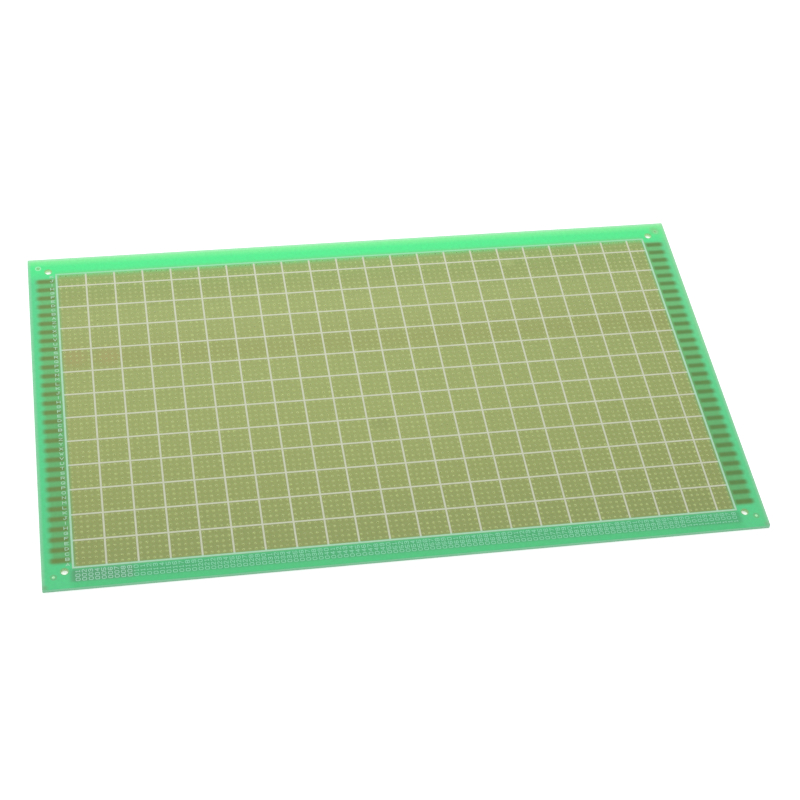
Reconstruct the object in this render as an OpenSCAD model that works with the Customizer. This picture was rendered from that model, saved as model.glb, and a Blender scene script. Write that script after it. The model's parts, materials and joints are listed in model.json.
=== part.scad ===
// Bare prototyping board, single sided: a drilled glass-epoxy laminate with
// copper pads and a green solder mask on its underside, and a white printed
// grid, column numbers and row letters on its upper side.
// Millimetres. The origin is the middle of the underside. +X runs along the
// numbered edge, +Y points from the numbered edge to the far one, +Z is up.

/* [Lead holes] */
// Spacing of the lead holes, both ways
pitch = 2.54; // [2:0.01:4]
// Columns of lead holes, counted along X
columns = 108; // [20:1:120]
// Rows of lead holes, counted along Y
rows = 63; // [10:1:80]
// Lead holes along one side of a printed square; the middle hole of each square is bored
square_holes = 5; // [3:1:10]
// Diameter of a lead hole
lead_hole_d = 1; // [0.6:0.05:1.2]
// Width of the copper ring round a lead hole
ring_w = 0.45; // [0.2:0.05:0.6]

/* [Board] */
// Board beyond the hole field at each short end
end_margin = 12.84; // [10:0.01:25]
// Board beyond the hole field at each long side
side_margin = 9.99; // [7.5:0.01:20]
// Thickness of the finished board without its print
board_t = 1.6; // [0.8:0.1:3.2]
// Radius of the board's corners
corner_r = 0.5; // [0.1:0.1:3]

/* [Corner holes] */
// Diameter of a mounting hole
mount_hole_d = 3; // [2:0.1:3.5]
// From the end of the hole field out to a mounting hole's centre, along X
mount_gap_x = 3.84; // [3:0.01:6]
// From the side of the hole field out to a mounting hole's centre, along Y
mount_gap_y = 1.89; // [1:0.01:4]
// Diameter of a tooling hole
tooling_hole_d = 1.2; // [0.8:0.1:2]
// From the end of the hole field out to a tooling hole's centre, along X
tooling_gap_x = 8.24; // [7:0.01:9]
// From the side of the hole field out to a tooling hole's centre, along Y
tooling_gap_y = 4.29; // [3:0.01:6]
// Diameter of the ring round a tooling hole that the mask leaves free
tooling_clear_d = 2.8; // [2.2:0.1:3.5]

/* [Edge pads] */
// Length of an edge pad, along X
edge_pad_l = 7.8; // [4:0.1:8.5]
// Width of an edge pad, along Y; its ends are round
edge_pad_w = 2.4; // [1:0.1:4]
// From the end of the hole field out to an edge pad
edge_pad_gap = 1.44; // [0.5:0.01:1.6]
// Rows of lead holes from one edge pad to the next
rows_per_edge_pad = 2; // [2:1:4]

/* [Coats] */
// Thickness of the copper with its tin, and of the solder mask beside it
foil_t = 0.05; // [0.02:0.01:0.2]
// Bare ring between a pad or a hole and the solder mask
mask_gap = 0.1; // [0.05:0.05:0.2]
// Thickness of the white print
print_t = 0.03; // [0.01:0.01:0.1]

/* [Print] */
// Width of a printed line
line_w = 0.8; // [0.3:0.05:1]
// From the side of the hole field out to the middle of the printed frame
frame_gap = 0.4; // [0:0.05:1]
// The same at the far side, opposite the column numbers
far_frame_gap = 0; // [0:0.05:1]
// From the printed frame to the column numbers and the row letters
label_gap = 0.8; // [0.3:0.05:1.2]
// Length of a three-digit column number, which reads along Y
number_l = 5.3; // [3:0.1:5.4]
// Height of the digits of a column number, along X
number_h = 1.9; // [1:0.1:2]
// Width of a row letter, along X
letter_w = 1.7; // [1:0.1:2]
// Height of a row letter, along Y
letter_h = 1.5; // [1:0.1:2]

/* [Hidden] */
$fn = 48;

field_l = columns * pitch;
field_w = rows * pitch;
board_l = field_l + 2 * end_margin;
board_w = field_w + 2 * side_margin;

ring_pad_d = lead_hole_d + 2 * ring_w;
first_edge_pad_row = rows_per_edge_pad - 1;
edge_pad_x = field_l / 2 + edge_pad_gap + edge_pad_l / 2;

frame_l = field_l + 2 * frame_gap;
frame_w = field_w + frame_gap + far_frame_gap;
frame_y = (far_frame_gap - frame_gap) / 2;
number_y = frame_y - (frame_w + line_w) / 2 - label_gap - number_l / 2;
letter_x = -(frame_l + line_w) / 2 - label_gap - letter_w / 2;

// Place of lead hole i of n in a row or column, counted from 0
function hole_at(i, n) = (i - (n - 1) / 2) * pitch;

// First lead hole of each printed square along a row or column of n holes
function square_starts(n) = [0 : square_holes : n - 1];

// Middle lead hole of the printed square that starts at hole i of n
function square_middle(i, n) = floor((i + min(i + square_holes, n) - 1) / 2);

// One copy at each bored lead hole
module at_lead_holes() {
  for (i = square_starts(columns), j = square_starts(rows))
    translate([hole_at(square_middle(i, columns), columns), hole_at(square_middle(j, rows), rows)])
      children();
}

// One copy at each corner of the hole field, moved out by gap_x and gap_y
module at_corners(gap_x, gap_y) {
  for (side_x = [-1, 1], side_y = [-1, 1])
    translate([side_x * (field_l / 2 + gap_x), side_y * (field_w / 2 + gap_y)])
      children();
}

// One copy at each edge pad of one end
module at_edge_pads(x) {
  for (row = [first_edge_pad_row : rows_per_edge_pad : rows - 1])
    translate([x, hole_at(row, rows)])
      children();
}

// Outline of the board, with its rounded corners
module board_outline() {
  square([board_l - 2 * corner_r, board_w], center = true);
  square([board_l, board_w - 2 * corner_r], center = true);
  for (side_x = [-1, 1], side_y = [-1, 1])
    translate([side_x * (board_l / 2 - corner_r), side_y * (board_w / 2 - corner_r)])
      circle(r = corner_r);
}

// Outline of an edge pad; grow widens it all round
module edge_pad_outline(grow = 0) {
  straight_l = edge_pad_l - edge_pad_w;
  square([straight_l, edge_pad_w + 2 * grow], center = true);
  for (side_x = [-1, 1])
    translate([side_x * straight_l / 2, 0])
      circle(d = edge_pad_w + 2 * grow);
}

// Edge pads of one end, at x
module edge_pads(x) {
  linear_extrude(foil_t)
    at_edge_pads(x)
      edge_pad_outline();
}

// Glass-epoxy board with its lead, mounting and tooling holes
module laminate() {
  color([0.38, 0.84, 0.56])
    translate([0, 0, foil_t])
      linear_extrude(board_t - foil_t)
        difference() {
          board_outline();
          at_lead_holes() circle(d = lead_hole_d);
          at_corners(mount_gap_x, mount_gap_y) circle(d = mount_hole_d);
          at_corners(tooling_gap_x, tooling_gap_y) circle(d = tooling_hole_d);
        }
}

// Green coat on the underside, open over the pads and round the holes
module solder_mask() {
  color([0.05, 0.5, 0.25])
    linear_extrude(foil_t)
      difference() {
        board_outline();
        at_lead_holes() circle(d = ring_pad_d + 2 * mask_gap);
        at_edge_pads(-edge_pad_x) edge_pad_outline(mask_gap);
        at_edge_pads(edge_pad_x) edge_pad_outline(mask_gap);
        at_corners(mount_gap_x, mount_gap_y) circle(d = mount_hole_d + 2 * mask_gap);
        at_corners(tooling_gap_x, tooling_gap_y) circle(d = tooling_clear_d);
      }
}

// Tinned copper rings round the bored lead holes
module ring_pads() {
  color([0.78, 0.79, 0.76])
    linear_extrude(foil_t)
      at_lead_holes()
        difference() {
          circle(d = ring_pad_d);
          circle(d = lead_hole_d);
        }
}

// Tinned copper pads along the left end
module left_edge_pads() {
  color([0.78, 0.79, 0.76]) edge_pads(-edge_pad_x);
}

// Tinned copper pads along the right end
module right_edge_pads() {
  color([0.78, 0.79, 0.76]) edge_pads(edge_pad_x);
}

// White frame and the lines between its squares, in one print
module grid_print() {
  color([0.86, 0.9, 0.84])
    translate([0, 0, board_t])
      linear_extrude(print_t) {
        translate([0, frame_y])
          difference() {
            square([frame_l + line_w, frame_w + line_w], center = true);
            square([frame_l - line_w, frame_w - line_w], center = true);
          }
        for (i = [square_holes : square_holes : columns - 1])
          translate([hole_at(i - 0.5, columns), frame_y])
            square([line_w, frame_w], center = true);
        for (j = [square_holes : square_holes : rows - 1])
          translate([0, hole_at(j - 0.5, rows)])
            square([frame_l, line_w], center = true);
      }
}

// Fields that the printed column numbers fill, one below each column
module column_numbers() {
  color([0.67, 0.88, 0.75])
    translate([0, 0, board_t])
      linear_extrude(print_t)
        for (i = [0 : columns - 1])
          translate([hole_at(i, columns), number_y])
            square([number_h, number_l], center = true);
}

// Fields that the printed row letters fill, one beside each row
module row_letters() {
  color([0.67, 0.88, 0.75])
    translate([0, 0, board_t])
      linear_extrude(print_t)
        for (j = [0 : rows - 1])
          translate([letter_x, hole_at(j, rows)])
            square([letter_w, letter_h], center = true);
}

laminate();
solder_mask();
ring_pads();
left_edge_pads();
right_edge_pads();
grid_print();
column_numbers();
row_letters();
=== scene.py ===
import json
import math
import string

import bmesh
import bpy
from mathutils import Matrix, Vector


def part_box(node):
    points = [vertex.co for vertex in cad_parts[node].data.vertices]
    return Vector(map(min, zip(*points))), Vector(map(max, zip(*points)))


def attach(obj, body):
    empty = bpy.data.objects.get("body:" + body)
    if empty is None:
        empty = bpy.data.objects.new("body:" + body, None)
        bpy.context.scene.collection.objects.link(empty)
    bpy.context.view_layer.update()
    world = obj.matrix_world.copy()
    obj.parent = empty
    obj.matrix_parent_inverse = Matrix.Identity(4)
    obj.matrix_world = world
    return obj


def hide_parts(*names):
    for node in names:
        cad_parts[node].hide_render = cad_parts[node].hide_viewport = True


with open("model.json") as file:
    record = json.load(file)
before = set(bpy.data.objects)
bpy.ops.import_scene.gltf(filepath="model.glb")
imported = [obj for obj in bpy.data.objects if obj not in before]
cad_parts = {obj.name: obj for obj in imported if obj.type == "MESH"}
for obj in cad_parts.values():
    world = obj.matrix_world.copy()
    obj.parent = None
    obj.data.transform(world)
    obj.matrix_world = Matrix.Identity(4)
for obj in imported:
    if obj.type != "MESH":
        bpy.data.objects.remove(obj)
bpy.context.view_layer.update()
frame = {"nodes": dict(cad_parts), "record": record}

scene = bpy.context.scene
MM = 0.001

# ---------------------------------------------------------------- sizes
# Lead holes
PITCH = 2.54 * MM
COLUMNS = 108
ROWS = 63
LEAD_HOLE_D = 1.0 * MM
RING_PAD_D = 1.9 * MM
MASK_GAP = 0.1 * MM
HOLE_SIDES = 10           # sides of each of the thousands of small holes
TILE_HOLES = 9            # lead holes along one side of a tile of the sheet
RING_PAD_PARTS = 3        # pieces that the ring pads are made in, by rows

# Corner holes and the board's own corners
ROUND_HOLE_SIDES = 32
TOOLING_CLEAR_D = 2.8 * MM
CORNER_R = 0.5 * MM
CORNER_POINTS = 4         # along each rounded corner

# Edge pads, and the slots that the mask leaves over them
EDGE_PAD_W = 2.4 * MM
ROWS_PER_EDGE_PAD = 2
SLOT_END_R = 0.499        # of a slot's width, just short of a full half circle
SLOT_END_POINTS = 6       # along each quarter of a slot's ends

WELD_REACH = 0.002 * MM   # points that lie closer than this become one
THREAD_SPACING = 0.9 * MM  # of the glass cloth in the laminate

# Characters of the print
STROKE_W = 0.28 * MM
STROKE_STEP = 0.002 * MM  # by which a character's later strokes lie lower, where strokes cross
DIGIT_W = 1.5 * MM
DIGIT_STEP = 1.9 * MM
MITRE_LIMIT = 0.5         # a bend's corner reaches at most half the line's width over this
SAME_POINT = 1e-9         # a stroke that ends this near its start is closed
DENSE_PRINT_X = -114.0 * MM  # up to here the numbers are printed whiter, on a browner board

# Read from the solids
board_low, board_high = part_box("laminate")
BOARD_L = board_high.x - board_low.x
BOARD_W = board_high.y - board_low.y
FOIL_T = board_low.z
TOP_Z = board_high.z
PRINT_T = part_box("grid_print")[1].z - TOP_Z

# Edges of the board and of the drilled field, out from the middle
BOARD_END = BOARD_L / 2
BOARD_FAR = BOARD_W / 2
FIELD_END = COLUMNS * PITCH / 2
FIELD_FAR = ROWS * PITCH / 2

# From the middle to the nearest lead hole, along X and along Y
MIDDLE_HOLE = tuple(0.0 if count % 2 else PITCH / 2 for count in (COLUMNS, ROWS))


def mount(name):
    """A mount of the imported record, by its name."""
    return next(m for m in frame["record"]["mounts"] if m["name"] == name)


def spacing_of(name):
    """Hole spacing of a rectangular bolt pattern, as a vector in metres."""
    dims = mount(name)["dims"]
    return (dims["spacing_x_mm"] * MM, dims["spacing_y_mm"] * MM, 0.0)


def corner_of(name):
    """The hole of a rectangular bolt pattern that has x and y above 0."""
    x, y, _ = spacing_of(name)
    return x / 2, y / 2


def hole_d_of(name):
    """Hole diameter of a bolt pattern, in metres."""
    return 2 * mount(name)["dims"]["hole_r_mm"] * MM


def hole_at(i, n):
    """Place of lead hole i of n in a row or column, counted from 0."""
    return (i - (n - 1) / 2) * PITCH


# ---------------------------------------------------------------- colours
def srgb(red, green, blue):
    """A colour given as it looks on a screen, 0 to 255, as a shader's linear RGBA."""
    def linear(value):
        value = value / 255
        return value / 12.92 if value <= 0.04045 else ((value + 0.055) / 1.055) ** 2.4
    return (linear(red), linear(green), linear(blue), 1.0)


WHITE = (1.0, 1.0, 1.0, 1.0)
BLACK = (0.0, 0.0, 0.0, 1.0)

# The laminate's border, green from the mask below it
BORDER_CLOUDS = (srgb(82, 208, 137), srgb(91, 214, 143))
# Painted light that makes the far margin brightest, and painted shade that darkens the near margin
# and the band of numbers
FAR_MARGIN_PAINTED_LIGHT = srgb(79, 233, 140)
NEAR_MARGIN_PAINTED_SHADE = srgb(80, 202, 130)
NUMBERS_SHADED_GREEN = (srgb(77, 180, 118), srgb(87, 166, 115))         # all, and the first few
BETWEEN_BARS_GREEN = (srgb(97, 178, 108), srgb(104, 185, 113))   # near half, far half
BARS_BROWN = (srgb(88, 131, 62), srgb(103, 135, 66))             # right end, left end
# Painted light: paler greens where light comes in at the cut edges
FAR_GLOW_PAINTED_LIGHT = srgb(126, 240, 153)
FAR_RIM_PAINTED_LIGHT = srgb(172, 236, 188)
END_RIM_PAINTED_LIGHT = srgb(154, 214, 174)
RIGHT_RIM_PAINTED_LIGHT = srgb(164, 226, 164)

# The laminate's drilled field, olive from the ring pads below it
OLIVE_CLOUDS = (srgb(151, 162, 94), srgb(157, 168, 100))
BETWEEN_PADS_OLIVE = srgb(150, 176, 104)
# Painted light, paler round each bore
BORE_HALO_PAINTED_LIGHT = srgb(184, 196, 128)
# Painted shade that darkens the field towards its right end
RIGHT_END_PAINTED_SHADE = srgb(96, 124, 60)

# Tones that the olive is multiplied by, by the distance from the middle towards the far side: the
# board's own drift of tone, with painted shade that darkens the field towards the numbered edge
NEAR_EDGE_PAINTED_SHADE = (0.86, 0.88, 0.87, 1.0)
FAR_EDGE_TONE = (0.86, 1.04, 0.95, 1.0)
FIELD_TONES_AND_SHADE = (
    (-50 * MM, (0.95, 0.94, 0.925, 1.0)),
    (-10 * MM, (1.01, 1.01, 1.0, 1.0)),
    (18 * MM, (1.01, 1.015, 1.02, 1.0)),
    (28 * MM, (0.975, 0.93, 0.91, 1.0)),
    (38 * MM, (1.01, 1.0, 1.02, 1.0)),
    (53 * MM, (1.04, 1.05, 1.09, 1.0)),
    (66 * MM, (0.93, 0.96, 0.95, 1.0)),
)

# Round the corner holes
TOOLING_RING_GREEN = (srgb(120, 178, 120), srgb(188, 240, 196))  # near half, far half
MOUNTING_RIM_STAIN = srgb(150, 168, 104)

# Faint stains of the laminate: place along X and Y, radius, strength, colour
STAINS = (
    (-4 * MM, -19 * MM, 7 * MM, 0.14, srgb(84, 92, 48)),
    (70 * MM, 70 * MM, 4 * MM, 0.2, srgb(206, 214, 146)),
    (145 * MM, 85 * MM, 4 * MM, 0.4, srgb(150, 176, 120)),
    (-132 * MM, 30 * MM, 9 * MM, 0.3, srgb(176, 156, 104)),
    (-117 * MM, 29 * MM, 9 * MM, 0.3, srgb(176, 156, 104)),
    (149 * MM, -89 * MM, 2 * MM, 0.4, srgb(140, 156, 134)),
    (-149 * MM, -89 * MM, 2 * MM, 0.4, srgb(118, 146, 106)),
)
STAIN_CORE = 0.1          # share of a stain's radius that it covers in full

# Cut glass epoxy, on the board's outline and in its holes
SAWN_PLIES = (srgb(150, 234, 184), srgb(172, 246, 202))
WALL_PLIES = (srgb(232, 240, 196), srgb(240, 248, 210))
LAST_ROWS_WALL = srgb(206, 244, 194)
MOUNTING_WALL_PAINTED_LIGHT = (srgb(196, 232, 186), srgb(150, 204, 146))       # below, at the rim; painted light makes the wall paler below, as if lit from the floor
TOOLING_WALL = srgb(206, 246, 206)

# Painted light that comes out of the holes' walls: an emission for the light that the clear laminate
# leads into them
LEAD_HOLE_GLOWS = (srgb(96, 102, 72), srgb(126, 132, 98))        # faintest, strongest
NEAR_MOUNTING_GLOW = srgb(150, 170, 130)
FAR_MOUNTING_GLOW = (srgb(224, 255, 217), srgb(158, 204, 140))   # below, at the rim
TOOLING_GLOW = (srgb(226, 220, 226), srgb(140, 156, 136))        # near half, far half
GLOW_STRENGTH = 0.2

# The coats
MASK_CLOUDS = (srgb(18, 138, 72), srgb(26, 156, 84))
TIN_BLOTCHES = (srgb(196, 198, 192), srgb(224, 226, 222))
PRINT_OVER_GREEN = (srgb(166, 218, 184), srgb(188, 226, 198))    # thinner, thicker
PRINT_OVER_OLIVE = (srgb(198, 204, 176), srgb(214, 218, 194))    # thinner, thicker
FAR_LINE_PRINT = srgb(154, 223, 174)
NUMBER_PRINT = (srgb(146, 221, 183), srgb(172, 222, 197))        # all, and the first few

# How far the copper lies off the print, as both are seen from above
COPPER_SHIFT = (0.0, -0.3 * MM, 0.0)

# How much the glass cloth and the finer flecks change the laminate's brightness
WEAVE_SHARE = 0.035
FLECK_SHARE = 0.3


# ---------------------------------------------------------------- node trees
class Wiring:
    """Adds nodes to a tree and joins their sockets."""

    def __init__(self, tree):
        self.tree = tree

    def node(self, kind, feeds=None, **settings):
        """A node with its settings, its inputs fed by sockets or by plain values."""
        made = self.tree.nodes.new(kind)
        for name, value in settings.items():
            setattr(made, name, value)
        for key, value in (feeds or {}).items():
            self.feed(made.inputs[key], value)
        return made

    def feed(self, socket, value):
        if isinstance(value, bpy.types.NodeSocket):
            self.tree.links.new(value, socket)
        else:
            socket.default_value = value

    def math(self, operation, *values):
        made = self.node("ShaderNodeMath", operation=operation)
        for socket, value in zip(made.inputs, values):
            self.feed(socket, value)
        return made.outputs[0]

    def vector(self, x=0.0, y=0.0, z=0.0):
        return self.node("ShaderNodeCombineXYZ", {"X": x, "Y": y, "Z": z}).outputs[0]

    def length(self, x, y):
        """Length of a vector in plan."""
        return self.node("ShaderNodeVectorMath", {0: self.vector(x, y)},
                         operation="LENGTH").outputs["Value"]

    def ramp(self, value, start, end):
        """0 up to start and 1 from end on, smooth between; start may be the larger."""
        made = self.node("ShaderNodeMapRange", {"Value": value, "From Min": start, "From Max": end},
                         interpolation_type="SMOOTHSTEP")
        return made.outputs["Result"]

    def between(self, share, low, high):
        """A number that is low where share is 0 and high where it is 1."""
        return self.node("ShaderNodeMapRange", {
            "Value": share, "To Min": low, "To Max": high}).outputs["Result"]

    def product(self, *values):
        """The product of several masks or numbers."""
        product = values[0]
        for value in values[1:]:
            product = self.math("MULTIPLY", product, value)
        return product

    def mix(self, share, first, second, blend="MIX"):
        """Colour first where share is 0, second (or its blend with first) where it is 1."""
        made = self.node("ShaderNodeMix", data_type="RGBA", blend_type=blend)
        self.feed(made.inputs["Factor"], share)
        self.feed(made.inputs["A"], first)
        self.feed(made.inputs["B"], second)
        return made.outputs["Result"]


def cleared(owner):
    """The wiring of a material's or a world's node tree, which is emptied first."""
    owner.use_nodes = True
    owner.node_tree.nodes.clear()
    return Wiring(owner.node_tree)


class ShapeWiring(Wiring):
    """A Geometry Nodes tree with named inputs and one output, and the shapes it is made of."""

    def __init__(self, name, inputs, output):
        super().__init__(bpy.data.node_groups.new(name, "GeometryNodeTree"))
        for kind, names in inputs.items():
            for socket in names:
                self.tree.interface.new_socket(socket, in_out="INPUT",
                                               socket_type="NodeSocket" + kind)
        self.tree.interface.new_socket(output, in_out="OUTPUT", socket_type="NodeSocketGeometry")
        self.given = self.node("NodeGroupInput").outputs

    def rectangle(self, length, width):
        return self.node("GeometryNodeCurvePrimitiveQuadrilateral",
                         {"Width": length, "Height": width}).outputs["Curve"]

    def rounded(self, curve, radius, corner_points):
        return self.node("GeometryNodeFilletCurve", {
            "Curve": curve, "Radius": radius, "Count": corner_points, "Limit Radius": True,
        }, mode="POLY").outputs["Curve"]

    def circle(self, diameter, sides):
        radius = self.math("DIVIDE", diameter, 2.0)
        return self.node("GeometryNodeCurvePrimitiveCircle",
                         {"Resolution": sides, "Radius": radius}).outputs["Curve"]

    def grid(self, length, width, along, across):
        """A flat grid of points in quads, along by across of them."""
        return self.node("GeometryNodeMeshGrid", {
            "Size X": length, "Size Y": width, "Vertices X": along, "Vertices Y": across,
        }).outputs["Mesh"]

    def spread(self, points, shape):
        """A copy of the shape at each point."""
        placed = self.node("GeometryNodeInstanceOnPoints", {"Points": points, "Instance": shape})
        return self.realized(placed.outputs["Instances"])

    def realized(self, geometry):
        return self.node("GeometryNodeRealizeInstances",
                         {"Geometry": geometry}).outputs["Geometry"]

    def join(self, *parts):
        made = self.node("GeometryNodeJoinGeometry")
        for part in parts:
            self.feed(made.inputs["Geometry"], part)
        return made.outputs["Geometry"]

    def fill(self, *curves):
        """The flat face inside the outer curve and outside the others."""
        return self.node("GeometryNodeFillCurve", {"Curve": self.join(*curves)}).outputs["Mesh"]

    def raised(self, flat, thickness):
        """The faces of a flat shape moved up, with the walls below them: an open shell."""
        return self.node("GeometryNodeExtrudeMesh", {
            "Mesh": flat, "Offset": self.vector(z=1.0), "Offset Scale": thickness,
            "Individual": False}).outputs

    def flipped(self, flat):
        return self.node("GeometryNodeFlipFaces", {"Mesh": flat}).outputs["Mesh"]

    def weld(self, geometry):
        return self.node("GeometryNodeMergeByDistance",
                         {"Geometry": geometry, "Distance": WELD_REACH}).outputs["Geometry"]

    def moved(self, geometry, **steps):
        return self.node("GeometryNodeTransform", {
            "Geometry": geometry, "Translation": self.vector(**steps)}).outputs["Geometry"]

    def coated(self, geometry, material, selection=True):
        return self.node("GeometryNodeSetMaterial", {
            "Geometry": geometry, "Selection": selection, "Material": material,
        }).outputs["Geometry"]


# ---------------------------------------------------------------- perforated sheets
def perforated_sheet_tree():
    """A flat sheet with a square grid of lead holes, two rectangles of corner holes and a
    column of round-ended slots at each end. The drilled field is laid from equal square
    tiles, and the border is filled round it with a corner at every tile corner."""
    wire = ShapeWiring("Perforated sheet", {
        "Float": ("Length", "Width", "Corner radius", "Base height", "Thickness",
                  "Hole spacing", "Lead hole diameter", "Mounting hole diameter",
                  "Tooling hole diameter", "Slot length", "Slot width", "Slot spacing",
                  "Slot place"),
        "Int": ("Holes per tile", "Tiles along", "Tiles across", "Lead hole sides",
                "Round hole sides", "Slots"),
        "Vector": ("Mounting hole spacing", "Tooling hole spacing"),
        "Material": ("Face material", "Cut material"),
    }, "Sheet")
    given = wire.given

    def corner_holes(spacing, diameter):
        along, across, _ = wire.node("ShaderNodeSeparateXYZ", {"Vector": spacing}).outputs
        return wire.spread(wire.grid(along, across, 2, 2),
                           wire.circle(diameter, given["Round hole sides"]))

    # The drilled field
    tile_l = wire.product(given["Hole spacing"], given["Holes per tile"])
    hole_span = wire.math("SUBTRACT", tile_l, given["Hole spacing"])
    tile_holes = wire.spread(
        wire.grid(hole_span, hole_span, given["Holes per tile"], given["Holes per tile"]),
        wire.circle(given["Lead hole diameter"], given["Lead hole sides"]))
    tile = wire.fill(wire.rectangle(tile_l, tile_l), tile_holes)
    field_l = wire.product(tile_l, given["Tiles along"])
    field_w = wire.product(tile_l, given["Tiles across"])
    tile_middles = wire.grid(
        wire.math("SUBTRACT", field_l, tile_l), wire.math("SUBTRACT", field_w, tile_l),
        given["Tiles along"], given["Tiles across"])
    tiles = wire.spread(tile_middles, tile)

    # The border round it
    tile_corners = wire.grid(field_l, field_w, wire.math("ADD", given["Tiles along"], 1.0),
                             wire.math("ADD", given["Tiles across"], 1.0))
    faces_beside = wire.node("GeometryNodeInputMeshEdgeNeighbors").outputs["Face Count"]
    open_edge = wire.node("FunctionNodeCompare", {"A": faces_beside, "B": 1},
                          data_type="INT", operation="EQUAL")
    field_outline = wire.node("GeometryNodeMeshToCurve", {
        "Mesh": tile_corners, "Selection": open_edge.outputs["Result"]}).outputs["Curve"]
    outline = wire.rounded(wire.rectangle(given["Length"], given["Width"]),
                           given["Corner radius"], CORNER_POINTS)
    slot = wire.rounded(wire.rectangle(given["Slot length"], given["Slot width"]),
                        wire.product(given["Slot width"], SLOT_END_R), SLOT_END_POINTS)
    slot_span = wire.product(given["Slot spacing"], wire.math("SUBTRACT", given["Slots"], 1.0))
    slot_ends = wire.math("MINIMUM", given["Slots"], 2.0)
    slot_points = wire.grid(wire.product(given["Slot place"], 2.0), slot_span,
                            slot_ends, given["Slots"])
    border = wire.fill(
        outline, field_outline, wire.spread(slot_points, slot),
        corner_holes(given["Mounting hole spacing"], given["Mounting hole diameter"]),
        corner_holes(given["Tooling hole spacing"], given["Tooling hole diameter"]))

    # Thickness
    base = wire.weld(wire.join(tiles, border))
    raised = wire.raised(base, given["Thickness"])
    upper = wire.coated(raised["Mesh"], given["Face material"])
    upper = wire.coated(upper, given["Cut material"], raised["Side"])
    underside = wire.coated(wire.flipped(base), given["Face material"])
    sheet = wire.moved(wire.weld(wire.join(upper, underside)), z=given["Base height"])
    wire.node("NodeGroupOutput", {"Sheet": wire.realized(sheet)})
    return wire.tree


def ring_pads_tree():
    """Flat rings on a grid of points, from the first row on."""
    wire = ShapeWiring("Ring pads", {
        "Float": ("Hole spacing", "Inner diameter", "Outer diameter", "Thickness", "First row"),
        "Int": ("Columns", "Rows", "Sides"),
        "Material": ("Material",),
    }, "Rings")
    given = wire.given

    def span(count):
        return wire.product(given["Hole spacing"], wire.math("SUBTRACT", count, 1.0))

    flat = wire.fill(wire.circle(given["Outer diameter"], given["Sides"]),
                     wire.circle(given["Inner diameter"], given["Sides"]))
    upper = wire.raised(flat, given["Thickness"])["Mesh"]
    ring = wire.weld(wire.join(upper, wire.flipped(flat)))
    middle_row = wire.math("ADD", given["First row"],
                           wire.math("DIVIDE", span(given["Rows"]), 2.0))
    points = wire.moved(wire.grid(span(given["Columns"]), span(given["Rows"]),
                                  given["Columns"], given["Rows"]), y=middle_row)
    rings = wire.coated(wire.spread(points, ring), given["Material"])
    wire.node("NodeGroupOutput", {"Rings": rings})
    return wire.tree


def put(name, data):
    """A new object at the origin of the scene."""
    made = bpy.data.objects.new(name, data)
    scene.collection.objects.link(made)
    return made


def mesh_data(name, mesh, material):
    """A finished mesh in one material, made from an edited one, which is freed."""
    data = bpy.data.meshes.new(name)
    mesh.to_mesh(data)
    mesh.free()
    data.materials.append(material)
    return data


def grown(name, tree, sizes):
    """A plain mesh piece: what the tree makes from these sizes."""
    piece = put(name, bpy.data.meshes.new(name))
    modifier = piece.modifiers.new("Shape", "NODES")
    modifier.node_group = tree
    for item in tree.interface.items_tree:
        if item.in_out == "INPUT":
            modifier[item.identifier] = sizes[item.name]
    graph = bpy.context.evaluated_depsgraph_get()
    mesh = bpy.data.meshes.new_from_object(piece.evaluated_get(graph), depsgraph=graph)
    mesh.name = name
    piece.modifiers.clear()
    piece.data = mesh
    return piece


def halves(piece):
    """The left and the right half of a piece, cut at x = 0 between two columns of holes.
    Each is a closed mesh, and the piece itself is taken away."""
    for word, side in (("left", -1.0), ("right", 1.0)):
        mesh = bmesh.new()
        mesh.from_mesh(piece.data)
        cut = bmesh.ops.bisect_plane(mesh, geom=[*mesh.verts, *mesh.edges, *mesh.faces],
                                     dist=WELD_REACH, plane_co=(0.0, 0.0, 0.0),
                                     plane_no=(side, 0.0, 0.0), use_snap_center=True,
                                     clear_inner=True)
        outline = [part for part in cut["geom_cut"] if isinstance(part, bmesh.types.BMEdge)]
        bmesh.ops.edgeloop_fill(mesh, edges=outline)
        bmesh.ops.recalc_face_normals(mesh, faces=mesh.faces)
        half = piece.copy()
        half.name = f"{piece.name}_{word}"
        half.data = piece.data.copy()
        half.data.name = half.name
        mesh.to_mesh(half.data)
        mesh.free()
        scene.collection.objects.link(half)
        yield half
    bpy.data.objects.remove(piece)


def finish_piece(piece, slot, *nodes):
    """Rides the piece on the board and hides the solids it stands for. Its slot is not used."""
    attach(piece, "root")
    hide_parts(*nodes)


# ---------------------------------------------------------------- materials
def new_material(name):
    """A material with an empty tree: its wiring, its shader and its output."""
    material = bpy.data.materials.new(name)
    wire = cleared(material)
    shader = wire.node("ShaderNodeBsdfPrincipled")
    wire.node("ShaderNodeOutputMaterial", {"Surface": shader.outputs["BSDF"]})
    return material, wire, shader


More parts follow.
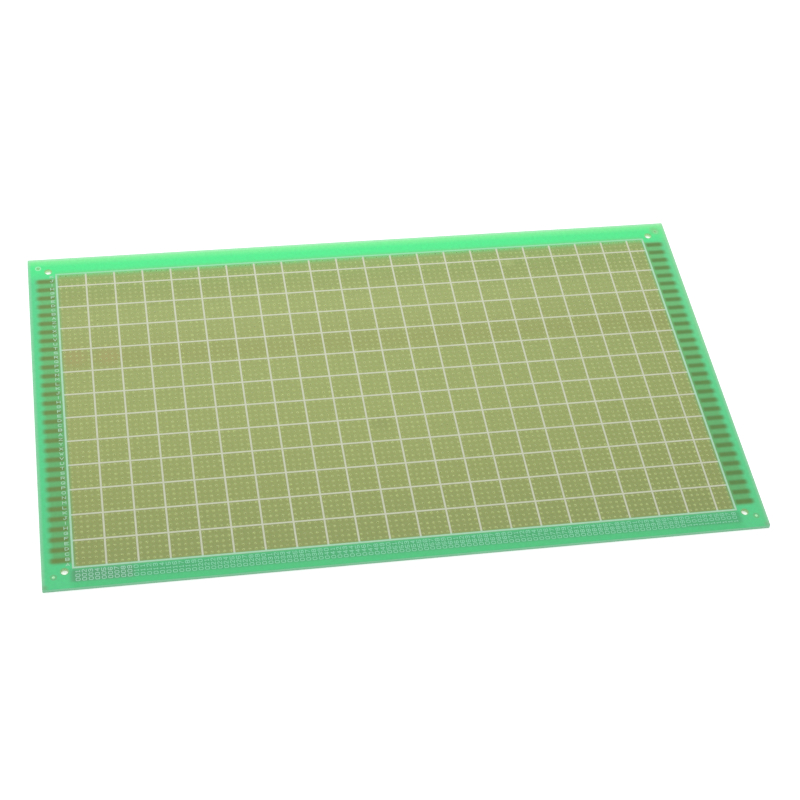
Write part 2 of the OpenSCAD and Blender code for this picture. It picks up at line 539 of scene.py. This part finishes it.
class BoardPlan:
    """Masks over the board's plan, worked out from Object coordinates moved by shift."""

    def __init__(self, wire, shift=(0.0, 0.0, 0.0)):
        self.wire = wire
        place = wire.node("ShaderNodeTexCoord").outputs["Object"]
        self.point = wire.node("ShaderNodeMapping", {
            "Vector": place, "Location": tuple(-step for step in shift)}).outputs["Vector"]
        self.x, self.y, self.z = wire.node("ShaderNodeSeparateXYZ", {"Vector": self.point}).outputs
        self.across_x = wire.math("ABSOLUTE", self.x)
        self.across_y = wire.math("ABSOLUTE", self.y)

    def rectangle(self, half_l, half_w, soft):
        """1 inside a centred rectangle and 0 outside, over a soft band within its edge."""
        along = self.wire.ramp(self.across_x, half_l, half_l - soft)
        across = self.wire.ramp(self.across_y, half_w, half_w - soft)
        return self.wire.product(along, across)

    def hole_distance(self):
        """Distance to the middle of the nearest lead hole."""
        wire = self.wire
        half = PITCH / 2
        from_x = wire.math("SUBTRACT", self.x, MIDDLE_HOLE[0])
        from_y = wire.math("SUBTRACT", self.y, MIDDLE_HOLE[1])
        return wire.length(wire.math("WRAP", from_x, half, -half),
                           wire.math("WRAP", from_y, half, -half))

    def hole_luck(self):
        """A random value from 0 to 1, the same all over a lead hole and the board round it."""
        to_cell = (PITCH / 2 - MIDDLE_HOLE[0], PITCH / 2 - MIDDLE_HOLE[1], 0.0)
        moved = self.wire.node("ShaderNodeVectorMath", {0: self.point, 1: to_cell}).outputs["Vector"]
        cell = self.wire.node("ShaderNodeVectorMath", {0: moved, 1: (PITCH, PITCH, 1.0)},
                              operation="SNAP").outputs["Vector"]
        return self.wire.node("ShaderNodeTexWhiteNoise", {"Vector": cell}).outputs["Value"]

    def corner_distance(self, x, y):
        """Distance in plan to the nearest of a place's four mirror images."""
        return self.wire.length(self.wire.math("SUBTRACT", self.across_x, x),
                                self.wire.math("SUBTRACT", self.across_y, y))

    def place_distance(self, x, y):
        """Distance in plan to one place."""
        return self.wire.length(self.wire.math("SUBTRACT", self.x, x),
                                self.wire.math("SUBTRACT", self.y, y))

    def far_half(self):
        """1 on the board's far half and 0 on the numbered one."""
        return self.wire.ramp(self.y, -20.0 * MM, 20.0 * MM)

    def first_numbers(self):
        """1 at the first column numbers, where the print is whiter and the board browner."""
        return self.wire.ramp(self.x, DENSE_PRINT_X + 1.0 * MM, DENSE_PRINT_X - 1.0 * MM)

    def edge_pads(self, soft, end_soft):
        """1 over the edge pads, softened by soft each side of their outline, and by end_soft
        at their outer ends."""
        wire = self.wire
        low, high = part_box("right_edge_pads")
        spacing = ROWS_PER_EDGE_PAD * PITCH
        in_y = wire.math("ABSOLUTE", wire.math("WRAP", self.y, spacing / 2, -spacing / 2))
        half_w = EDGE_PAD_W / 2
        across = wire.ramp(in_y, half_w + soft, half_w - soft)
        inner = wire.ramp(self.across_x, low.x - soft, low.x + soft)
        outer = wire.ramp(self.across_x, high.x + end_soft, high.x - end_soft)
        in_rows = wire.ramp(self.across_y, high.y + soft, high.y)
        return wire.product(across, inner, outer, in_rows)

    def ring_pads(self):
        """1 over the ring pads and 0 past the printed frame, softest at the far side."""
        wire = self.wire
        ends = wire.ramp(self.across_x, FIELD_END + 1.8 * MM, FIELD_END - 1.8 * MM)
        near = wire.ramp(self.y, -FIELD_FAR - 1.3 * MM, -FIELD_FAR + 1.1 * MM)
        far = wire.ramp(self.y, FIELD_FAR + 2.9 * MM, FIELD_FAR - 3.6 * MM)
        return wire.product(ends, near, far)


def noise(wire, point, per_m, detail=2.0, roughness=0.5):
    """Soft noise from 0 to 1, with about this many swells in a metre."""
    return wire.node("ShaderNodeTexNoise", {
        "Vector": point, "Scale": per_m, "Detail": detail, "Roughness": roughness,
    }).outputs["Fac"]


def emboss(wire, shader, height, strength, depth):
    """Gives the shader a surface uneven by height, which is up to depth deep."""
    bump = wire.node("ShaderNodeBump", {"Height": height, "Strength": strength, "Distance": depth})
    wire.feed(shader.inputs["Normal"], bump.outputs["Normal"])


def weave_height(plan):
    """The glass cloth under the resin: two crossed sets of fine threads."""
    wire = plan.wire
    turns_per_m = 2 * math.pi / THREAD_SPACING
    warp = wire.math("SINE", wire.product(plan.x, turns_per_m))
    weft = wire.math("SINE", wire.product(plan.y, turns_per_m))
    return wire.product(warp, weft)


def border_green_with_painted_light(plan, cloud):
    """The border over the bare mask, with painted light that makes it brightest at the far margin
    and painted shade that makes it deepest round the printed numbers."""
    wire = plan.wire
    green = wire.mix(cloud, *BORDER_CLOUDS)
    # Painted light over the far margin
    far_margin_light = wire.ramp(plan.y, FIELD_FAR - 6.0 * MM, FIELD_FAR + 4.0 * MM)
    green = wire.mix(far_margin_light, green, FAR_MARGIN_PAINTED_LIGHT)
    # Painted shade over the near margin and round the numbers
    low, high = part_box("column_numbers")
    beside_numbers = wire.ramp(plan.across_x, high.x + 3.5 * MM, high.x)
    below_frame = wire.ramp(plan.y, high.y + 2.0 * MM, high.y - 1.0 * MM)
    near_margin_shade = wire.ramp(plan.y, low.y + 0.5 * MM, low.y - 1.0 * MM)
    numbers_shaded_green = wire.mix(plan.first_numbers(), *NUMBERS_SHADED_GREEN)
    near_shaded_green = wire.mix(near_margin_shade, numbers_shaded_green, NEAR_MARGIN_PAINTED_SHADE)
    return wire.mix(wire.product(beside_numbers, below_frame), green, near_shaded_green)


def with_bars(plan, below, green):
    """The green with the soft dark bars of the edge pads, and duller between them."""
    wire = plan.wire
    pad_column = wire.product(
        wire.ramp(below.across_x, BOARD_END - 2.8 * MM, BOARD_END - 5.8 * MM),
        wire.ramp(below.across_y, FIELD_FAR - 1.0 * MM, FIELD_FAR - 3.0 * MM))
    between_bars = wire.mix(plan.far_half(), *BETWEEN_BARS_GREEN)
    green = wire.mix(pad_column, green, between_bars)
    left_end = wire.ramp(plan.x, FIELD_END, -FIELD_END)
    bars = below.edge_pads(soft=0.75 * MM, end_soft=1.5 * MM)
    return wire.mix(bars, green, wire.mix(left_end, *BARS_BROWN))


def with_painted_rim_light(plan, green):
    """The green with painted light: paler where light comes in at the cut edge, farthest at the far
    margin.
    """
    wire = plan.wire
    far_glow_light = wire.ramp(plan.y, BOARD_FAR - 5.5 * MM, BOARD_FAR - 0.8 * MM)
    green = wire.mix(far_glow_light, green, FAR_GLOW_PAINTED_LIGHT)
    end_rim_light = wire.ramp(plan.across_x, BOARD_END - 1.8 * MM, BOARD_END)
    green = wire.mix(wire.product(end_rim_light, 0.8), green, END_RIM_PAINTED_LIGHT)
    # Painted light along the right margin, stronger on the far half
    right_rim_light = wire.ramp(plan.x, BOARD_END - 5.0 * MM, BOARD_END)
    right_light_share = wire.between(plan.far_half(), 0.08, 0.3)
    green = wire.mix(wire.product(right_rim_light, right_light_share), green, RIGHT_RIM_PAINTED_LIGHT)
    far_rim_light = wire.ramp(plan.y, BOARD_FAR - 2.0 * MM, BOARD_FAR)
    return wire.mix(far_rim_light, green, FAR_RIM_PAINTED_LIGHT)


def field_olive(plan, below, cloud):
    """The drilled field: greener between the ring pads, and paler round each bore with painted
    light.
    """
    wire = plan.wire
    olive = wire.mix(cloud, *OLIVE_CLOUDS)
    between_pads = wire.ramp(below.hole_distance(), RING_PAD_D / 2, 1.7 * MM)
    olive = wire.mix(wire.product(between_pads, 0.4), olive, BETWEEN_PADS_OLIVE)
    # Painted light round each bore, stronger at some holes than at others
    bore_halo_light = wire.ramp(plan.hole_distance(), 1.0 * MM, LEAD_HOLE_D / 2)
    halo_light_share = wire.between(plan.hole_luck(), 0.2, 0.45)
    return wire.mix(wire.product(bore_halo_light, halo_light_share), olive, BORE_HALO_PAINTED_LIGHT)


def with_field_tones_and_shade(plan, olive):
    """The olive with its drift of tone, greener at the far rows and browner in one band, and with
    painted shade that darkens it towards the numbered edge and a little towards the right end."""
    wire = plan.wire
    along_y = wire.node("ShaderNodeMapRange", {
        "Value": plan.y, "From Min": -FIELD_FAR, "From Max": FIELD_FAR}).outputs["Result"]
    tone = wire.node("ShaderNodeValToRGB", {"Fac": along_y})
    stops = tone.color_ramp.elements
    stops[0].position, stops[0].color = 0.0, NEAR_EDGE_PAINTED_SHADE
    stops[1].position, stops[1].color = 1.0, FAR_EDGE_TONE
    for y, colour in FIELD_TONES_AND_SHADE:
        stops.new(y / (2 * FIELD_FAR) + 0.5).color = colour
    toned = wire.mix(1.0, olive, tone.outputs["Color"], blend="MULTIPLY")
    # Painted shade, a little darker towards the right end
    right = wire.ramp(plan.x, -20 * MM, 170 * MM)
    return wire.mix(wire.product(right, 0.1), toned, RIGHT_END_PAINTED_SHADE)


def with_corner_rings(plan, colour):
    """The colour with rings round the corner holes, where the mask stands back. The pale
    ones round the tooling holes are faintest at the far right."""
    wire = plan.wire
    tooling = plan.corner_distance(*corner_of("tooling_holes"))
    ring = wire.product(wire.ramp(tooling, 0.7 * MM, 1.1 * MM),
                        wire.ramp(tooling, 1.5 * MM, 1.2 * MM))
    ring_green = wire.mix(plan.far_half(), *TOOLING_RING_GREEN)
    worn = wire.product(plan.far_half(), wire.ramp(plan.x, 0.0, 20.0 * MM))
    ring_share = wire.between(worn, 0.7, 0.3)
    colour = wire.mix(wire.product(ring, ring_share), colour, ring_green)
    mounting = plan.corner_distance(*corner_of("mounting_holes"))
    rim_stain = wire.ramp(mounting, 2.1 * MM, 1.5 * MM)
    return wire.mix(wire.product(rim_stain, 0.4), colour, MOUNTING_RIM_STAIN)


def with_stains(plan, colour):
    """The colour with the few faint stains."""
    wire = plan.wire
    for x, y, radius, strength, stain in STAINS:
        reach = wire.ramp(plan.place_distance(x, y), radius, STAIN_CORE * radius)
        colour = wire.mix(wire.product(reach, strength), colour, stain)
    return colour


def laminate_material():
    """Glass epoxy over the green mask and the copper: green where only the mask lies below,
    olive over the ring pads, with soft dark bars over the edge pads."""
    material, wire, shader = new_material("Glass epoxy over mask and copper")
    plan = BoardPlan(wire)
    below = BoardPlan(wire, COPPER_SHIFT)
    cloud = noise(wire, plan.point, 18.0)
    fleck = noise(wire, plan.point, 700.0, detail=4.0, roughness=0.7)
    weave = weave_height(plan)

    green = border_green_with_painted_light(plan, cloud)
    green = with_bars(plan, below, green)
    green = with_painted_rim_light(plan, green)
    olive = field_olive(plan, below, cloud)
    olive = with_field_tones_and_shade(plan, olive)
    colour = wire.mix(below.ring_pads(), green, olive)
    colour = with_corner_rings(plan, colour)
    colour = with_stains(plan, colour)

    # The fine unevenness of resin and glass
    uneven = wire.math("ADD", wire.product(weave, WEAVE_SHARE),
                       wire.product(wire.math("SUBTRACT", fleck, 0.5), FLECK_SHARE))
    colour = wire.node("ShaderNodeHueSaturation", {
        "Value": wire.math("ADD", 1.0, uneven), "Color": colour}).outputs["Color"]
    wire.feed(shader.inputs["Base Color"], colour)
    wire.feed(shader.inputs["Roughness"], wire.between(fleck, 0.32, 0.46))
    shader.inputs["IOR"].default_value = 1.5
    emboss(wire, shader, weave, strength=0.12, depth=0.01 * MM)
    return material


def cut_laminate_material():
    """Sawn edges and drilled walls: pale glass epoxy, greener on the board's outline. The walls
    also glow a little with painted light, an emission for the light that the clear laminate leads
    into them."""
    material, wire, shader = new_material("Cut glass epoxy")
    plan = BoardPlan(wire)
    inside = plan.rectangle(BOARD_END - 0.2 * MM, BOARD_FAR - 0.2 * MM, 0.1 * MM)
    last_rows = wire.ramp(plan.y, FIELD_FAR - 4.5 * MM, FIELD_FAR - 1.0 * MM)
    at_rim = wire.ramp(plan.z, TOP_Z - 0.9 * MM, TOP_Z - 0.2 * MM)
    at_mounting = wire.ramp(plan.corner_distance(*corner_of("mounting_holes")),
                            2.4 * MM, 2.2 * MM)
    at_tooling = wire.ramp(plan.corner_distance(*corner_of("tooling_holes")),
                           1.4 * MM, 1.2 * MM)

    flat_plies = wire.node("ShaderNodeMapping", {
        "Vector": plan.point, "Scale": (60.0, 60.0, 3000.0)}).outputs["Vector"]
    plies = noise(wire, flat_plies, 1.0)
    wall = wire.mix(plies, *WALL_PLIES)
    wall = wire.mix(last_rows, wall, LAST_ROWS_WALL)
    # Painted light: the mounting holes' walls are paler below, as if lit from the floor
    wall = wire.mix(at_mounting, wall, wire.mix(at_rim, *MOUNTING_WALL_PAINTED_LIGHT))
    wall = wire.mix(at_tooling, wall, TOOLING_WALL)
    wire.feed(shader.inputs["Base Color"], wire.mix(inside, wire.mix(plies, *SAWN_PLIES), wall))
    shader.inputs["Roughness"].default_value = 0.7

    # Painted light: an emission from the walls, brighter below in the far mounting holes
    far_mounting_glow = wire.mix(at_rim, *FAR_MOUNTING_GLOW)
    mounting_glow = wire.mix(plan.far_half(), NEAR_MOUNTING_GLOW, far_mounting_glow)
    glow = wire.mix(plan.hole_luck(), *LEAD_HOLE_GLOWS)
    glow = wire.mix(at_mounting, glow, mounting_glow)
    glow = wire.mix(at_tooling, glow, wire.mix(plan.far_half(), *TOOLING_GLOW))
    wire.feed(shader.inputs["Emission Color"], wire.mix(inside, BLACK, glow))
    shader.inputs["Emission Strength"].default_value = GLOW_STRENGTH
    return material


def mask_material():
    """Green solder mask on the underside, with a faint orange peel."""
    material, wire, shader = new_material("Green solder mask")
    plan = BoardPlan(wire)
    cloud = noise(wire, plan.point, 30.0)
    wire.feed(shader.inputs["Base Color"], wire.mix(cloud, *MASK_CLOUDS))
    shader.inputs["Roughness"].default_value = 0.22
    emboss(wire, shader, noise(wire, plan.point, 900.0), strength=0.1, depth=0.02 * MM)
    return material


def tin_material():
    """Hot-dipped tin on copper: bright, uneven from pad to pad."""
    material, wire, shader = new_material("Tinned copper")
    plan = BoardPlan(wire)
    blotch = noise(wire, plan.point, 220.0)
    wire.feed(shader.inputs["Base Color"], wire.mix(blotch, *TIN_BLOTCHES))
    shader.inputs["Metallic"].default_value = 1.0
    wire.feed(shader.inputs["Roughness"], wire.between(blotch, 0.22, 0.42))
    emboss(wire, shader, blotch, strength=0.25, depth=0.03 * MM)
    return material


def print_material():
    """White component print, thin enough that the board tints it."""
    material, wire, shader = new_material("White print")
    plan = BoardPlan(wire)
    in_field = wire.product(plan.rectangle(FIELD_END, FIELD_FAR, 0.6 * MM),
                            wire.ramp(plan.y, FIELD_FAR - 0.4 * MM, FIELD_FAR - 1.0 * MM))
    at_far_line = wire.ramp(plan.y, FIELD_FAR - 1.5 * MM, FIELD_FAR - 0.5 * MM)
    at_numbers = wire.ramp(plan.y, -FIELD_FAR - 1.0 * MM, -FIELD_FAR - 1.4 * MM)
    patchy = noise(wire, plan.point, 400.0)
    over_green = wire.mix(patchy, *PRINT_OVER_GREEN)
    over_green = wire.mix(at_far_line, over_green, FAR_LINE_PRINT)
    over_green = wire.mix(at_numbers, over_green, wire.mix(plan.first_numbers(), *NUMBER_PRINT))
    over_olive = wire.mix(patchy, *PRINT_OVER_OLIVE)
    wire.feed(shader.inputs["Base Color"], wire.mix(in_field, over_green, over_olive))
    shader.inputs["Roughness"].default_value = 0.75
    return material


# ---------------------------------------------------------------- characters
# Single-line characters on a field 4 wide and 6 high. Each stroke is a string of points,
# two digits each, x then y; a stroke that ends where it starts is closed. No stroke crosses
# itself: where a line comes back to itself, a new stroke starts.
STROKES = {
    "0": ["10 30 41 45 36 16 05 01 10"],
    "1": ["15 26 20", "10 30"],
    "2": ["05 16 36 45 44 00 40"],
    "3": ["05 16 36 45 44 33 42 41 30 10 01", "13 33"],
    "4": ["30 36", "36 02 42"],
    "5": ["46 06 03 33 42 41 30 10 01"],
    "6": ["45 36 16 05 01 10 30 41 42 33", "33 03"],
    "7": ["06 46 10"],
    "8": ["13 04 05 16 36 45 44 33 13", "13 02 01 10 30 41 42 33"],
    "9": ["01 10 30 41 45 36 16 05 04 13", "13 43"],
    "A": ["00 26 40", "12 32"],
    "B": ["00 06 36 45 44 33", "33 42 41 30 00", "33 03"],
    "C": ["45 36 16 05 01 10 30 41"],
    "D": ["00 06 26 44 42 20 00"],
    "E": ["46 06 00 40", "03 33"],
    "F": ["46 06 00", "03 33"],
    "G": ["45 36 16 05 01 10 30 41 43 23"],
    "H": ["00 06", "40 46", "03 43"],
    "I": ["20 26"],
    "J": ["36 31 20 10 01", "26 46"],
    "K": ["00 06", "46 02", "13 40"],
    "L": ["06 00 40"],
    "M": ["00 06 23 46 40"],
    "N": ["00 06 40 46"],
    "O": ["10 30 41 45 36 16 05 01 10"],
    "P": ["00 06 36 45 44 33", "33 03"],
    "Q": ["10 30 41 45 36 16 05 01 10", "22 40"],
    "R": ["00 06 36 45 44 33", "33 03", "23 40"],
    "S": ["45 36 16 05 04 13 33 42 41 30 10 01"],
    "T": ["06 46", "26 20"],
    "U": ["06 01 10 30 41 46"],
    "V": ["06 20 46"],
    "W": ["06 10 23 30 46"],
    "X": ["00 46", "06 40"],
    "Y": ["06 23 46", "23 20"],
    "Z": ["06 46 00 40"],
}
GLYPH_W, GLYPH_H = 4, 6


def strokes_of(character, width, height):
    """The character's strokes as points about its middle, its lines within width and height."""
    scale_x = (width - STROKE_W) / GLYPH_W
    scale_y = (height - STROKE_W) / GLYPH_H
    return [[Vector(((int(p[0]) - GLYPH_W / 2) * scale_x, (int(p[1]) - GLYPH_H / 2) * scale_y))
             for p in stroke.split()] for stroke in STROKES[character]]


def stroke_edges(points):
    """The two edges of a stroke's line, mitred at its bends, as lists of points."""
    closed = (points[0] - points[-1]).length < SAME_POINT
    half = STROKE_W / 2
    left, right = [], []
    last = len(points) - 1
    for k, point in enumerate(points):
        before = points[last - 1] if closed and k == 0 else points[max(k - 1, 0)]
        after = points[1] if closed and k == last else points[min(k + 1, last)]
        ahead = (after - point).normalized() if after != point else (point - before).normalized()
        behind = (point - before).normalized() if before != point else ahead
        along = (ahead + behind).normalized()
        across = Vector((-along.y, along.x))
        reach = half / max(across.dot(Vector((-ahead.y, ahead.x))), MITRE_LIMIT)
        start = point
        if not closed and k in (0, last):
            start = point + along * (half if k else -half)
        left.append(start + across * reach)
        right.append(start - across * reach)
    return left, right, closed


def add_stroke(mesh, points, thickness, place):
    """A stroke as a closed flat bar of this thickness, moved by place."""
    left, right, closed = stroke_edges(points)
    if closed:
        left[-1], right[-1] = left[0], right[0]
    count = len(points) - 1 if closed else len(points)
    rings = []
    for k in range(count):
        corners = [(left[k], 0.0), (right[k], 0.0), (right[k], thickness), (left[k], thickness)]
        rings.append([mesh.verts.new(place @ Vector((p.x, p.y, z))) for p, z in corners])
    steps = count if closed else count - 1
    for k in range(steps):
        near, far = rings[k], rings[(k + 1) % count]
        for side in range(4):
            turn = (side + 1) % 4
            mesh.faces.new((near[side], near[turn], far[turn], far[side]))
    if not closed:
        mesh.faces.new(tuple(reversed(rings[0])))
        mesh.faces.new(tuple(rings[-1]))


def printed_piece(name, characters, material):
    """One mesh of characters, each given as (character, width, height, place)."""
    mesh = bmesh.new()
    for character, width, height, place in characters:
        for k, points in enumerate(strokes_of(character, width, height)):
            add_stroke(mesh, points, PRINT_T - k * STROKE_STEP, place)
    bmesh.ops.recalc_face_normals(mesh, faces=mesh.faces)
    return put(name, mesh_data(name, mesh, material))


def column_number_characters():
    """Three digits below each column, reading away from the numbered edge."""
    low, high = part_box("column_numbers")
    middle_y = (low.y + high.y) / 2
    height = high.x - low.x - (COLUMNS - 1) * PITCH
    turned = Matrix.Rotation(math.pi / 2, 4, "Z")
    for column in range(COLUMNS):
        for k, digit in enumerate(f"{column + 1:03d}"):
            y = middle_y + (k - 1) * DIGIT_STEP
            place = Matrix.Translation((hole_at(column, COLUMNS), y, TOP_Z)) @ turned
            yield digit, DIGIT_W, height, place


def row_letter_characters():
    """One letter beside each row, A next to the numbered edge, starting again after Z."""
    low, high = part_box("row_letters")
    middle_x = (low.x + high.x) / 2
    height = high.y - low.y - (ROWS - 1) * PITCH
    for row in range(ROWS):
        letter = string.ascii_uppercase[row % len(string.ascii_uppercase)]
        place = Matrix.Translation((middle_x, hole_at(row, ROWS), TOP_Z))
        yield letter, high.x - low.x, height, place


# ---------------------------------------------------------------- the board
def sheet_sizes(changes):
    """Sizes of a sheet that covers the board, with the laminate's holes except as changed."""
    pad_low, pad_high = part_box("right_edge_pads")
    sizes = {
        "Length": BOARD_L, "Width": BOARD_W, "Corner radius": CORNER_R,
        "Base height": FOIL_T, "Thickness": TOP_Z - FOIL_T, "Hole spacing": PITCH,
        "Lead hole diameter": LEAD_HOLE_D,
        "Mounting hole diameter": hole_d_of("mounting_holes"),
        "Tooling hole diameter": hole_d_of("tooling_holes"),
        "Slot length": pad_high.x - pad_low.x + 2 * MASK_GAP,
        "Slot width": EDGE_PAD_W + 2 * MASK_GAP,
        "Slot spacing": ROWS_PER_EDGE_PAD * PITCH, "Slot place": (pad_low.x + pad_high.x) / 2,
        "Holes per tile": TILE_HOLES, "Tiles along": COLUMNS // TILE_HOLES,
        "Tiles across": ROWS // TILE_HOLES, "Lead hole sides": HOLE_SIDES,
        "Round hole sides": ROUND_HOLE_SIDES, "Slots": 0,
        "Mounting hole spacing": spacing_of("mounting_holes"),
        "Tooling hole spacing": spacing_of("tooling_holes"),
    }
    return {**sizes, **changes}


def drilled_board(tree, face, cut):
    """The laminate with all its holes, in two halves."""
    board = grown("drilled_board", tree, sheet_sizes({
        "Face material": face, "Cut material": cut}))
    for half in halves(board):
        finish_piece(half, "laminate", "laminate")


def underside_mask(tree, coat):
    """The solder mask, open over the pads and round the holes, in two halves."""
    mask = grown("underside_mask", tree, sheet_sizes({
        "Base height": 0.0, "Thickness": FOIL_T,
        "Lead hole diameter": RING_PAD_D + 2 * MASK_GAP,
        "Mounting hole diameter": hole_d_of("mounting_holes") + 2 * MASK_GAP,
        "Tooling hole diameter": TOOLING_CLEAR_D,
        "Slots": ROWS // ROWS_PER_EDGE_PAD,
        "Face material": coat, "Cut material": coat}))
    for half in halves(mask):
        finish_piece(half, "solder_mask", "solder_mask")


def ring_pads(tree, metal):
    """The rings round the lead holes, in a few pieces of whole rows."""
    first_row = 0
    for part in range(RING_PAD_PARTS):
        last_row = ROWS * (part + 1) // RING_PAD_PARTS
        rings = grown(f"ring_pads_{part + 1}", tree, {
            "Hole spacing": PITCH, "Columns": COLUMNS, "Rows": last_row - first_row,
            "Inner diameter": LEAD_HOLE_D, "Outer diameter": RING_PAD_D, "Thickness": FOIL_T,
            "Sides": HOLE_SIDES, "First row": hole_at(first_row, ROWS), "Material": metal})
        finish_piece(rings, "tinned_copper", "ring_pads")
        first_row = last_row


def dress_solids(material, *nodes):
    """Gives solids that are shown as they are their material."""
    for node in nodes:
        solid = frame["nodes"][node]
        solid.data.materials.clear()
        solid.data.materials.append(material)


glass_epoxy = laminate_material()
cut_epoxy = cut_laminate_material()
green_mask = mask_material()
tin = tin_material()
white_print = print_material()

sheet_tree = perforated_sheet_tree()
drilled_board(sheet_tree, glass_epoxy, cut_epoxy)
underside_mask(sheet_tree, green_mask)
ring_pads(ring_pads_tree(), tin)
finish_piece(printed_piece("printed_numbers", column_number_characters(), white_print),
             "white_print", "column_numbers")
finish_piece(printed_piece("printed_letters", row_letter_characters(), white_print),
             "white_print", "row_letters")
dress_solids(tin, "left_edge_pads", "right_edge_pads")
dress_solids(white_print, "grid_print")

# ---------------------------------------------------------------- floor, light and camera
CAMERA_AIM = Vector((5.8 * MM, -7.57 * MM, TOP_Z))
CAMERA_DISTANCE = 0.773
CAMERA_AZIMUTH = math.radians(14.95)      # turned from +Y towards +X
CAMERA_ELEVATION = math.radians(49.89)
CAMERA_ROLL = math.radians(7.286)
CAMERA_LENS = 80.15
CAMERA_SENSOR_W = 36.0
CAMERA_REACH = (0.05, 50.0)               # the nearest and the farthest that it sees

FLOOR_SIDE = 8.0
FLOOR_GAP = 0.02 * MM
FLOOR_PAINT = (0.85, 0.85, 0.85, 1.0)
FLOOR_GLOW = 0.6                          # as it is seen beside the board
COVERED_FLOOR_GLOW = 0.4                  # and under it, weaker: painted shade

WORLD_STRENGTH = 0.5
BACK_LIGHT_PLACE = Vector((-0.03, 0.35, 0.6))
BACK_LIGHT_SIDE = 0.5
BACK_LIGHT_POWER = 3.0


def seen(wire):
    """1 for rays that carry a picture: the camera's, and those in gloss and through glass."""
    rays = wire.node("ShaderNodeLightPath").outputs
    return wire.math("MAXIMUM", rays["Is Camera Ray"],
                     wire.math("MAXIMUM", rays["Is Glossy Ray"], rays["Is Transmission Ray"]))


def floor_material():
    """Pale paint that reads as white where it is seen, and still takes the board's shadow. Its
    glow is weaker under the board, where the holes show it: painted shade."""
    material = bpy.data.materials.new("Pale floor")
    wire = cleared(material)
    paint = wire.node("ShaderNodeBsdfDiffuse", {"Color": FLOOR_PAINT})
    covered = BoardPlan(wire).rectangle(BOARD_END, BOARD_FAR, 2.0 * MM)
    strength = wire.between(covered, FLOOR_GLOW, COVERED_FLOOR_GLOW)
    glow = wire.node("ShaderNodeEmission", {"Color": WHITE, "Strength": strength})
    lit = wire.node("ShaderNodeAddShader", {0: paint.outputs[0], 1: glow.outputs[0]})
    choice = wire.node("ShaderNodeMixShader", {
        0: seen(wire), 1: paint.outputs[0], 2: lit.outputs[0]})
    wire.node("ShaderNodeOutputMaterial", {"Surface": choice.outputs[0]})
    return material


def floor():
    """The pale floor, just under the board."""
    mesh = bmesh.new()
    bmesh.ops.create_grid(mesh, x_segments=1, y_segments=1, size=FLOOR_SIDE / 2,
                          matrix=Matrix.Translation((0.0, 0.0, -FLOOR_GAP)))
    plane = put("floor", mesh_data("floor", mesh, floor_material()))


def world_light():
    """Even light from all round, which the camera sees as plain white."""
    world = bpy.data.worlds.new("Studio")
    scene.world = world
    wire = cleared(world)
    level = wire.between(seen(wire), WORLD_STRENGTH, 1.0)
    light = wire.node("ShaderNodeBackground", {"Color": WHITE, "Strength": level})
    wire.node("ShaderNodeOutputWorld", {"Surface": light.outputs[0]})


def back_light():
    """A square soft light behind the board, which faces its middle and leaves no gloss."""
    data = bpy.data.lights.new("back_light", "AREA")
    data.shape = "SQUARE"
    data.size = BACK_LIGHT_SIDE
    data.energy = BACK_LIGHT_POWER
    lamp = put("back_light", data)
    lamp.location = BACK_LIGHT_PLACE
    lamp.rotation_euler = (-BACK_LIGHT_PLACE).to_track_quat("-Z", "Y").to_euler()
    lamp.visible_glossy = False


def camera():
    """The camera, looking down on the board from its numbered edge's left."""
    ahead = Vector((math.sin(CAMERA_AZIMUTH) * math.cos(CAMERA_ELEVATION),
                    math.cos(CAMERA_AZIMUTH) * math.cos(CAMERA_ELEVATION),
                    -math.sin(CAMERA_ELEVATION)))
    data = bpy.data.cameras.new("camera")
    data.lens = CAMERA_LENS
    data.sensor_width = CAMERA_SENSOR_W
    data.clip_start, data.clip_end = CAMERA_REACH
    view = put("camera", data)
    level = ahead.to_track_quat("-Z", "Y").to_matrix()
    view.matrix_world = (Matrix.Translation(CAMERA_AIM - ahead * CAMERA_DISTANCE)
                         @ Matrix.Rotation(CAMERA_ROLL, 4, -ahead) @ level.to_4x4())
    scene.camera = view


floor()
world_light()
back_light()
camera()
scene.view_settings.view_transform = "Standard"
